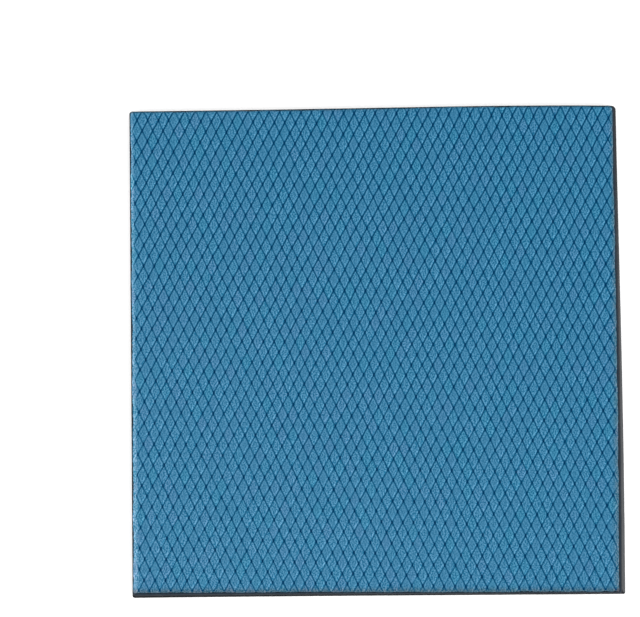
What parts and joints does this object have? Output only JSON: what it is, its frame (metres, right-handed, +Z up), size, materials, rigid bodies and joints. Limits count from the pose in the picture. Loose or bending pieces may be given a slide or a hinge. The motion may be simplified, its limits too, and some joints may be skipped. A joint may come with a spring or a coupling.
{
  "type": "thermal pad sheet",
  "caption": "Square sheet of soft, filled silicone thermal pad with cut, leaning edges, under a blue peel-off film embossed with a diamond lattice.",
  "frame": {"origin": "middle of the underside, on the surface that the sheet lies on", "axes": "+Z up through the thickness, towards the film; +X and +Y along the square's sides"},
  "size_m": [0.1, 0.1, 0.0035],
  "materials": {
    "filled_silicone": "matt dark grey silicone, fine filler grain, knife-cut edges",
    "blue_film": "satin blue plastic film, embossed with a diamond lattice"
  },
  "bodies": {
    "root": {"silicone_pad": "filled_silicone", "embossed_film": "blue_film"}
  },
  "joints": []
}
